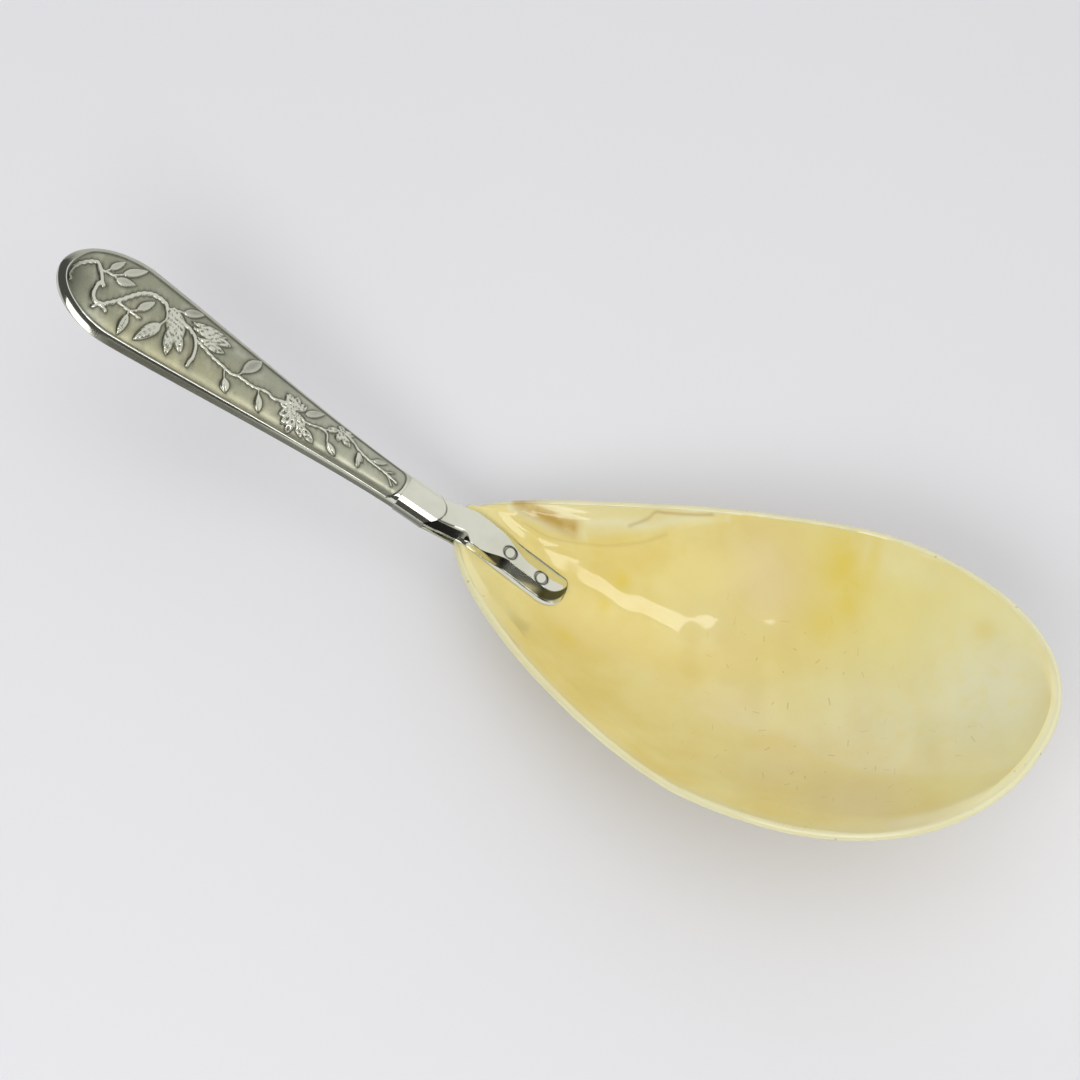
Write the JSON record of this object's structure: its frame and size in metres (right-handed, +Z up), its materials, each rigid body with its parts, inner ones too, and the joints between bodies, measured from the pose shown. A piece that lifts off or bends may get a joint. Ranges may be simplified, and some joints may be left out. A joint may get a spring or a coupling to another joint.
{
  "type": "ladle",
  "caption": "Serving ladle with a lopsided teardrop bowl carved from sea shell, riveted to a hollow silver handle with a flowering branch in relief.",
  "frame": {"origin": "on the small flat ground into the belly of the bowl, where the ladle rests on a table", "axes": "+X from the butt of the handle towards the bowl, +Y to the left, +Z up"},
  "size_m": [0.2378, 0.075, 0.0505],
  "materials": {
    "sea_shell": "gloss",
    "polished_silver": "polished",
    "oxidised_silver": "satin",
    "cement_resin": "matte"
  },
  "bodies": {
    "root": {"shell_bowl": "sea_shell", "tongue": "polished_silver", "back_strap": "polished_silver", "ferrule": "polished_silver", "handle_front": "oxidised_silver", "handle_back": "polished_silver", "handle_cement": "cement_resin", "rivet_front": "polished_silver", "rivet_rear": "polished_silver"}
  },
  "joints": []
}
